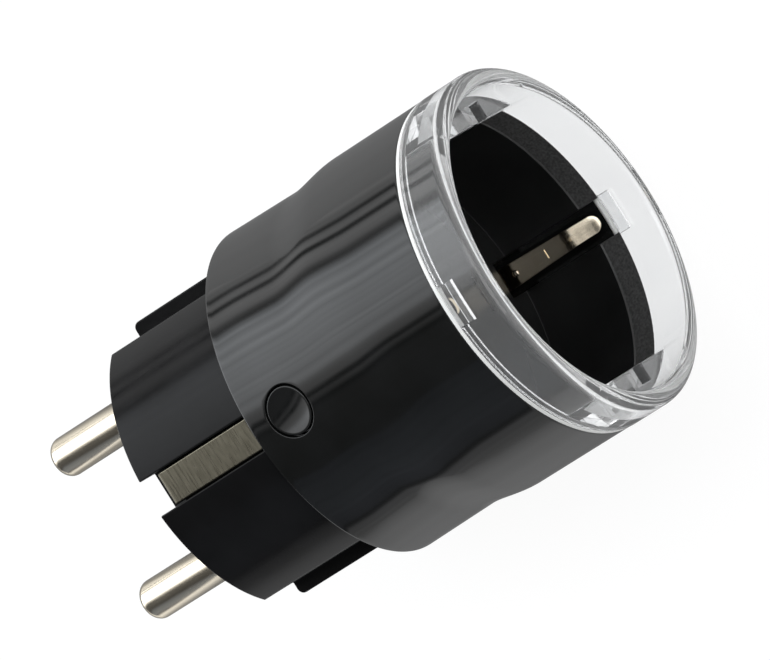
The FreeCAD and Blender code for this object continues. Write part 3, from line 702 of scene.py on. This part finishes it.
def insert():
    """The well that a plug goes into: floor, flats with rail channels, clip slots and lead-in."""
    top = INSERT_TOP - TOUCH_GAP
    profile = [(0.0, SCREW_HOLE_END), (SCREW_R, SCREW_HOLE_END), (SCREW_R, POST_START)]
    profile += [(POST_R, POST_START), (POST_R, INSERT_START)]
    profile += [(INSERT_FOOT_R, INSERT_START), (INSERT_FOOT_R, INSERT_FOOT_END)]
    profile += [(INSERT_R, INSERT_FOOT_END), (INSERT_R, top), (0.0, top)]
    well = lathe("socket_well", profile)
    wall = (
        (RECESS_R, FLOOR_TOP), (RECESS_R, LEAD_IN_START - LEAD_IN_STEP),
        (RECESS_R + LEAD_IN_STEP, LEAD_IN_START), (RECESS_R + LEAD_IN, INSERT_TOP + 1e-3),
        (RECESS_R + LEAD_IN, INSERT_TOP + OVERCUT),
    )
    recess = [[(x, y, z) for x, y in flatted_circle(r, RECESS_FLAT_X)] for r, z in wall]
    tools = [loft("recess", recess)]
    for sx in SIDES:
        for sy in SIDES:
            across = (sx * CHANNEL_INNER_X, sx * CHANNEL_X)
            up = (sy * CHANNEL_Y[0], sy * CHANNEL_Y[1])
            tools.append(block("channel", across, up, (FLOOR_TOP, INSERT_TOP + OVERCUT)))
        low, high = INSERT_START - OVERCUT, FLOOR_TOP + OVERCUT
        bore = [(0, low), (SOCKET_HOLE_R, low), (SOCKET_HOLE_R, high), (0, high)]
        tools.append(lathe("hole", bore, HOLE_SEGMENTS, (sx * PIN_X, 0)))
        tools.append(block("guide_pocket", (sx * GUIDE_POCKET_X[0], sx * GUIDE_POCKET_X[1]),
                           (-GUIDE_POCKET_HALF, GUIDE_POCKET_HALF), (low, INSERT_TOP + OVERCUT)))
    for sy in SIDES:
        outwards = (sy * CLIP_SLOT_Y, sy * (INSERT_R + OVERCUT))
        tools.append(block("clip_slot", (-CLIP_SLOT_HALF, CLIP_SLOT_HALF), outwards,
                           (INSERT_START - OVERCUT, INSERT_TOP + OVERCUT)))
    carve(well, "DIFFERENCE", tools)
    for polygon in well.data.polygons:
        middle = polygon.center / MM
        radius = math.hypot(middle.x, middle.z)
        if -middle.y > LEAD_IN_START and RECESS_R < radius < RECESS_R + LEAD_IN + 0.1:
            polygon.material_index = 1
    soften(well, WELL_EDGE, 35, 2)
    return well


def base():
    """The rear body: flats with rails, side slots for the earth contacts and a face with the pin seats."""
    outline, steps = [], 60
    reach = math.degrees(math.acos(BASE_FLAT_X / BASE_R))
    slot = math.degrees(math.asin(SLOT_HALF / BASE_R))
    for side in SIDES:
        half = arc(0, 0, BASE_R, reach, 90 - slot, steps)
        half += [(SLOT_HALF, SLOT_Y), (-SLOT_HALF, SLOT_Y)]
        half += arc(0, 0, BASE_R, 90 + slot, 180 - reach, steps)
        outline += [(side * x, side * y) for x, y in half]
    body = prism("base_body", outline, (0.0, BASE_END))
    rails = []
    for sx in SIDES:
        for sy in SIDES:
            profile = [(BASE_FLAT_X - 1, BASE_END), (BASE_FLAT_X - 1, RAIL_START)]
            profile += arc(RAIL_X - RAIL_CORNER, RAIL_START + RAIL_CORNER, RAIL_CORNER, 270, 360, 8)
            profile += [(RAIL_X, BASE_END)]
            along = sorted((sy * RAIL_Y[0], sy * RAIL_Y[1]))
            rails.append(prism("rail", [(sx * x, z) for x, z in profile], along, "y"))
    carve(body, "UNION", rails)
    cuts = []
    for side in SIDES:
        outwards = (side * NOTCH_Y, side * (BASE_R + OVERCUT))
        cuts.append(block("notch", (-SLOT_HALF, SLOT_HALF), outwards, (-OVERCUT, FACE_WALL)))
        radius = PIN_SHOULDER_R + PIN_SEAT_GAP
        seat = [(0, -OVERCUT), (radius, -OVERCUT), (radius, PIN_SEAT_DEPTH), (0, PIN_SEAT_DEPTH)]
        cuts.append(lathe("pin_seat", seat, HOLE_SEGMENTS, (side * PIN_X, 0)))
    carve(body, "DIFFERENCE", cuts)
    soften(body, BASE_EDGE)
    return body


def pin(side, name):
    """A pin with a rounded tip and a shoulder that sits in the base's face."""
    end = PIN_BOX[2][0]
    flat = PIN_R - PIN_TIP_ROUND
    crown, crown_rise = PIN_TIP_CROWN
    profile = [(0.0, end), (flat * crown, end + crown_rise)]
    profile += arc(flat, end + PIN_TIP_ROUND, PIN_TIP_ROUND, 270, 360, 12)
    profile += [(PIN_R, PIN_SHOULDER[0]), (PIN_SHOULDER_R, PIN_SHOULDER[1]), (PIN_SHOULDER_R, FACE_WALL)]
    return lathe(name, profile + [(0.0, FACE_WALL)], PIN_SEGMENTS, (side * PIN_X, 0))


def earth_contact(side, name):
    """A strip folded in at its rear end."""
    outer, start, end = EARTH_BOX[1][1], EARTH_BOX[2][0], EARTH_BOX[2][1]
    inner = outer - EARTH_THICK
    outline = [(inner, end), (outer, end)]
    outline += arc(outer - EARTH_FOLD_R, start + EARTH_FOLD_R, EARTH_FOLD_R, 0, -90, 8)
    outline += [(EARTH_BOX[1][0], start), (EARTH_BOX[1][0], FACE_WALL), (inner, FACE_WALL)]
    strip = prism(name, [(side * y, z) for y, z in outline], EARTH_BOX[0], "x")
    soften(strip, EARTH_EDGE)
    return strip


def path_point(path, t):
    """A point and direction on a smooth curve through the path's points, t counting them."""
    i = min(int(t), len(path) - 2)
    u = t - i
    p = [Vector(path[min(max(i + k, 0), len(path) - 1)]) for k in (-1, 0, 1, 2)]
    m0, m1 = (p[2] - p[0]) / 2, (p[3] - p[1]) / 2
    point = ((2 * u ** 3 - 3 * u ** 2 + 1) * p[1] + (u ** 3 - 2 * u ** 2 + u) * m0
             + (-2 * u ** 3 + 3 * u ** 2) * p[2] + (u ** 3 - u ** 2) * m1)
    along = ((6 * u ** 2 - 6 * u) * p[1] + (3 * u ** 2 - 4 * u + 1) * m0
             + (-6 * u ** 2 + 6 * u) * p[2] + (3 * u ** 2 - 2 * u) * m1)
    return point, along.normalized()


def clip_face(z, rise):
    """The distance from the axis to the strip's inward face at a height, less a rise."""
    for (y_0, z_0), (y_1, z_1) in zip(CLIP_PATH, CLIP_PATH[1:]):
        if z_0 <= z <= z_1:
            return y_0 + (y_1 - y_0) * (z - z_0) / (z_1 - z_0) - CLIP_THICK / 2 - rise


def earth_clip(side, name):
    """A sprung strip that bows inwards and narrows to a round tip, with rounded edges."""
    stations = []
    root_z, tip_z = CLIP_BOX[2][0], CLIP_PATH[-1][1]
    neck = tip_z - CLIP_TIP_HALF
    for i in range(CLIP_STEPS + 1):
        t = (len(CLIP_PATH) - 1) * (1 - (1 - i / CLIP_STEPS) ** CLIP_CROWDING)
        point, along = path_point(CLIP_PATH, t)
        z = point.y
        half = CLIP_ROOT_HALF + (CLIP_TIP_HALF - CLIP_ROOT_HALF) * (z - root_z) / (neck - root_z)
        if z > neck:
            half = math.sqrt(max(CLIP_TIP_HALF ** 2 - (z - neck) ** 2, 0.0)) + CLIP_TIP_MIN
        stations.append((point, Vector((-along.y, along.x)), half))
    loops = []
    for point, normal, half in stations:
        r = min(CLIP_EDGE, half / 2)
        section = []
        for cx, cy, start in ((half - r, CLIP_THICK / 2 - r, 0), (r - half, CLIP_THICK / 2 - r, 90),
                              (r - half, r - CLIP_THICK / 2, 180), (half - r, r - CLIP_THICK / 2, 270)):
            section += arc(cx, cy, r, start, start + 90, 3)
        loops.append([(x, side * (point.x + normal.x * d), point.y + normal.y * d) for x, d in section])
    clip = loft(name, loops)
    pad_x, (pad_low, pad_high), pad_rise = CLIP_PAD
    sunk_rise = -CLIP_THICK / 2
    corners = ((pad_low, sunk_rise), (pad_low, pad_rise), (pad_high, pad_rise), (pad_high, sunk_rise))
    pad = prism("pad", [(side * clip_face(z, rise), z) for z, rise in corners], pad_x, "x")
    reach = [math.radians(90 * i / 6) for i in range(7)]
    dome = []
    for turn in reach[:-1]:
        radius, rise = CLIP_DIMPLE_R * math.cos(turn), CLIP_DIMPLE_RISE * math.sin(turn)
        dome.append([(x, side * clip_face(CLIP_DIMPLE_Z, rise), CLIP_DIMPLE_Z + z)
                     for x, z in arc(0, 0, radius, 0, 345, 23)])
    sunk = [(x, y + side * CLIP_THICK / 2, z) for x, y, z in dome[0]]
    carve(clip, "UNION", [pad, loft("dimple", [sunk] + dome)])
    clip.data.set_sharp_from_angle(angle=math.radians(50))
    return clip


# ------------------------------------------------------------------- assembly

def place(obj, body, slot, *nodes):
    """Gives a piece its finish, and lets it ride its body in place of its CAD nodes."""
    marked = [polygon.material_index for polygon in obj.data.polygons]
    obj.data.materials.clear()
    obj.data.materials.append(MATERIALS[slot])
    if any(marked):
        obj.data.materials.append(LEAD_IN_FINISH)
    obj.data.polygons.foreach_set("material_index", [min(index, 1) for index in marked])
    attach(obj, body)
    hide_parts(*nodes)
    return obj


place(housing(), "plug_body", "housing_plastic", "housing_shell")
place(button(), "power_button", "button_plastic", "power_button")
place(light_ring(), "plug_body", "clear_plastic", "light_ring")
place(diffuser(), "plug_body", "diffuser_white", "diffuser_ring")
place(insert(), "plug_body", "insert_plastic", "socket_insert")
place(base(), "plug_body", "base_plastic", "plug_base")
place(pin(-1, "pin_left_nickel"), "plug_body", "nickel", "pin_left")
place(pin(1, "pin_right_nickel"), "plug_body", "nickel", "pin_right")
place(earth_contact(1, "earth_strip_top"), "plug_body", "earth_metal", "earth_contact_top")
place(earth_contact(-1, "earth_strip_bottom"), "plug_body", "earth_metal", "earth_contact_bottom")
place(earth_clip(1, "earth_spring_top"), "top_earth_spring", "clip_metal", "earth_clip_top")
place(earth_clip(-1, "earth_spring_bottom"), "bottom_earth_spring", "clip_metal", "earth_clip_bottom")

for part in frame["record"]["subparts"]:
    shown = frame["nodes"][part["node"]].data.materials
    shown.clear()
    shown.append(MATERIALS[part["material_slot"]])

# ------------------------------------------------------------------- studio

FLOOR_X = (-0.25, 0.2)
FLOOR_Y = (-0.4, 0.4)
FLOOR_GAP = 0.0005
SHEET_WHITE = 0.93
BLACK = (0.05, 0.05, 0.05)

# Brightness of the sheet, as the plug reflects it, by the distance to the side of the plug's middle in mm.
# The low values near the middle are a painted shadow of the plug on the sheet, and further out they are the
# sheet's own light.
FLOOR_LIGHT_AND_PAINTED_SHADOW = (
    (-250, 0.6), (-170, 0.8), (-102, 0.9), (-58, 0.68), (-40, 0.4), (-29, 0.2), (0, 0.15), (29, 0.18),
    (39, 0.32), (57, 0.55), (93, 0.78), (140, 0.88), (250, 0.9),
)
# In front of the plug, past FRONT_EDGE in metres along y, the painted shadow stops and the sheet is
# mirrored at FRONT_LIGHT.
FRONT_LIGHT = 1.0
FRONT_EDGE = (-0.062, -0.048)

# The light tent is made of long panels that run along TENT_LENGTH, with thin seams between them. Each stop
# is an angle around the plug's body, in degrees from its top to the side of the first pin, and the
# brightness mirrored there towards the camera. The stops were fitted to the real plug's reflections for
# this one viewpoint, so the bands fall elsewhere in other views.
TENT_LENGTH = Vector((-0.13, 0.81, -0.57)).normalized()
TENT = (
    (-88, (0.6, 0.6, 0.6)), (-48, (0.62, 0.62, 0.62)), (-43, (0.45, 0.45, 0.46)), (-41.5, BLACK),
    (-38.5, (0.2, 0.21, 0.24)), (-30, (0.22, 0.24, 0.27)), (-18, (0.12, 0.13, 0.15)),
    (-17.4, (0.06, 0.06, 0.06)),
    (-2.4, (0.1, 0.1, 0.1)), (-1.4, (0.01, 0.01, 0.01)), (-0.6, (0.01, 0.01, 0.01)), (0, (0.4, 0.4, 0.4)),
    (0.8, (0.4, 0.4, 0.4)), (1.3, (0.01, 0.01, 0.01)), (2.1, (0.01, 0.01, 0.01)), (2.7, (0.8, 0.8, 0.8)),
    (5, (1.0, 1.0, 1.0)), (6.5, (2.0, 2.05, 2.1)), (22, (2.7, 2.8, 2.9)), (29.5, (2.4, 2.5, 2.6)),
    (31.6, (0.35, 0.35, 0.35)), (33, (0.3, 0.3, 0.3)), (34.8, (1.4, 1.4, 1.4)), (38.3, (1.45, 1.45, 1.45)),
    (38.8, BLACK), (40.4, BLACK), (40.9, (1.45, 1.45, 1.45)), (42.9, (1.2, 1.2, 1.2)), (43.3, BLACK),
    (44.8, BLACK), (45.3, (1.1, 1.1, 1.1)), (88, (0.9, 0.9, 0.9)),
)
TENT_FRONT = (0.8, 0.8, 0.8, 1)
TENT_FRONT_EDGE = (-0.75, -0.25)
TENT_FOLDS = 20.0
FOLD_LIGHT = (0.82, 1.14)
VIEW_BACK = Vector((-0.0190, -0.5054, 0.8627)).normalized()
VIEW_RIGHT = Vector((-0.5299, -0.7266, -0.4373)).normalized()
VIEW_POINT = (-0.0179, -0.5611, 0.9129)
VIEW_CLIP = (0.05, 20.0)
LENS = 446.4
SENSOR_WIDTH = 36.0
SOFTBOX = {"direction": (0.1, -0.75, 0.9), "distance": 1.6, "size": (1.2, 0.8), "radiance": 1.2}


def studio_floor():
    """A sheet that lights itself. It looks evenly pale straight on. The plug mirrors it as the floor table
    above says, which was fitted together with the tent. That mirrored light holds a painted shadow of the
    plug under and beside it, and none in front of it."""
    z = cad_low.z - FLOOR_GAP
    corners = [(x, y, z) for x, y in rectangle(FLOOR_X, FLOOR_Y)]
    mesh = bpy.data.meshes.new("studio_floor")
    mesh.from_pydata(corners, [], [(0, 1, 2, 3)])
    floor = bpy.data.objects.new("studio_floor", mesh)
    bpy.context.scene.collection.objects.link(floor)
    paper = finish_material("floor_paper", ((0.1, 0.1, 0.1), (0.11, 0.11, 0.11)), (0.8, 0.9), drift=0.01,
                            Specular_IOR_Level=0.0, Emission_Color=(1, 1, 1, 1))
    tree = paper.node_tree
    coords = node(tree, "TexCoord")
    split = node(tree, "SeparateXYZ")
    tree.links.new(coords.outputs["Object"], split.inputs["Vector"])
    reach = FLOOR_LIGHT_AND_PAINTED_SHADOW[-1][0] * MM
    # This ramp paints the plug's shadow onto the sheet, and it is seen only where the plug mirrors the
    # sheet.
    ramp = node(tree, "ValToRGB")
    set_stops(ramp, [((x * MM / reach + 1) / 2, (light / 2,) * 3) for x, light in FLOOR_LIGHT_AND_PAINTED_SHADOW])
    tree.links.new(remap(tree, split.outputs["X"], 0, 1, -reach, reach), ramp.inputs["Fac"])
    shaded = remap(tree, ramp.outputs["Color"], 0, 2, 0, 1)
    # The painted shadow fades out in front of the plug.
    front = node(tree, "Mix", data_type="FLOAT")
    tree.links.new(remap(tree, split.outputs["Y"], 1, 0, *FRONT_EDGE), front.inputs[0])
    tree.links.new(shaded, front.inputs[2])
    front.inputs[3].default_value = FRONT_LIGHT
    seen = node(tree, "Mix", data_type="FLOAT")
    tree.links.new(straight_or_through(tree), seen.inputs[0])
    tree.links.new(front.outputs[0], seen.inputs[2])
    seen.inputs[3].default_value = SHEET_WHITE
    tree.links.new(seen.outputs[0], tree.nodes["Principled BSDF"].inputs["Emission Strength"])
    mesh.materials.append(paper)


def straight_or_through(tree):
    """1 where the studio is seen straight or through the clear ring, 0 where it lights or is mirrored."""
    path = node(tree, "LightPath")
    either = node(tree, "Math", operation="MAXIMUM")
    tree.links.new(path.outputs["Is Camera Ray"], either.inputs[0])
    tree.links.new(path.outputs["Is Transmission Ray"], either.inputs[1])
    return either.outputs[0]


def set_stops(ramp, stops):
    """Gives a colour ramp these (position, colour) stops."""
    elements = ramp.color_ramp.elements
    while len(elements) > 1:
        elements.remove(elements[-1])
    elements[0].position, elements[0].color = stops[0][0], (*stops[0][1], 1)
    for position, colour in stops[1:]:
        elements.new(position).color = (*colour, 1)


def softbox(name, direction, distance, size, radiance):
    """A rectangular light that faces the object. Radiance is its brightness."""
    data = bpy.data.lights.new(name, "AREA")
    data.shape = "RECTANGLE"
    data.size, data.size_y = size
    data.energy = radiance * math.pi * size[0] * size[1]
    lamp = bpy.data.objects.new(name, data)
    centre = (cad_low + cad_high) / 2
    away = Vector(direction).normalized()
    lamp.location = centre + away * distance
    lamp.rotation_euler = away.to_track_quat("Z", "Y").to_euler()
    lamp.visible_camera = False
    bpy.context.scene.collection.objects.link(lamp)
    return lamp


def tent_axes():
    """Two directions across the tent's length, to the side and up."""
    side = (Vector((1, 0, 0)) - TENT_LENGTH.x * TENT_LENGTH).normalized()
    return side, side.cross(TENT_LENGTH)


def tent_turn(around):
    """The share of a full turn about the tent's length at which the camera sees what the body mirrors."""
    normal = Vector((math.sin(math.radians(around)), 0, math.cos(math.radians(around))))
    mirrored = 2 * normal.dot(VIEW_BACK) * normal - VIEW_BACK
    side, up = tent_axes()
    return math.atan2(mirrored.dot(side), mirrored.dot(up)) / (2 * math.pi) + 0.5


def studio_world():
    """The light tent: panels that run along it, and an even front."""
    world = bpy.data.worlds.new("studio_world")
    bpy.context.scene.world = world
    world.use_nodes = True
    tree = world.node_tree
    tree.nodes.clear()
    coords = node(tree, "TexCoord")
    split = node(tree, "SeparateXYZ")
    tree.links.new(coords.outputs["Generated"], split.inputs["Vector"])
    angle = node(tree, "Math", operation="ARCTAN2")
    for index, axis in enumerate(tent_axes()):
        across = node(tree, "VectorMath", operation="DOT_PRODUCT")
        across.inputs[1].default_value = axis
        tree.links.new(coords.outputs["Generated"], across.inputs[0])
        tree.links.new(across.outputs["Value"], angle.inputs[index])
    ramp = node(tree, "ValToRGB")
    tree.links.new(remap(tree, angle.outputs[0], 0, 1, -math.pi, math.pi), ramp.inputs["Fac"])
    set_stops(ramp, sorted((tent_turn(around) % 1.0, light) for around, light in TENT))
    folds = node(tree, "TexNoise", noise_dimensions="1D")
    folds.inputs["Scale"].default_value = TENT_FOLDS
    tree.links.new(angle.outputs[0], folds.inputs["W"])
    folded = node(tree, "VectorMath", operation="SCALE")
    tree.links.new(ramp.outputs["Color"], folded.inputs[0])
    tree.links.new(remap(tree, folds.outputs["Fac"], *FOLD_LIGHT), folded.inputs["Scale"])
    front = node(tree, "Mix", data_type="RGBA")
    tree.links.new(remap(tree, split.outputs["Y"], 1, 0, *TENT_FRONT_EDGE), front.inputs[0])
    tree.links.new(folded.outputs[0], front.inputs[6])
    front.inputs[7].default_value = TENT_FRONT
    seen = node(tree, "Mix", data_type="RGBA")
    tree.links.new(straight_or_through(tree), seen.inputs[0])
    tree.links.new(front.outputs[2], seen.inputs[6])
    seen.inputs[7].default_value = (1, 1, 1, 1)
    back = node(tree, "Background")
    out = node(tree, "OutputWorld")
    tree.links.new(seen.outputs[2], back.inputs["Color"])
    tree.links.new(back.outputs["Background"], out.inputs["Surface"])


def camera():
    data = bpy.data.cameras.new("photo_view")
    data.lens = LENS
    data.sensor_width = SENSOR_WIDTH
    data.clip_start, data.clip_end = VIEW_CLIP
    cam = bpy.data.objects.new("photo_view", data)
    up = VIEW_BACK.cross(VIEW_RIGHT).normalized()
    turn = Matrix((up.cross(VIEW_BACK), up, VIEW_BACK)).transposed()
    cam.matrix_world = Matrix.Translation(VIEW_POINT) @ turn.to_4x4()
    bpy.context.scene.collection.objects.link(cam)
    bpy.context.scene.camera = cam


studio_floor()
studio_world()
camera()
softbox("front_top", **SOFTBOX)
bpy.context.scene.view_settings.view_transform = "Standard"
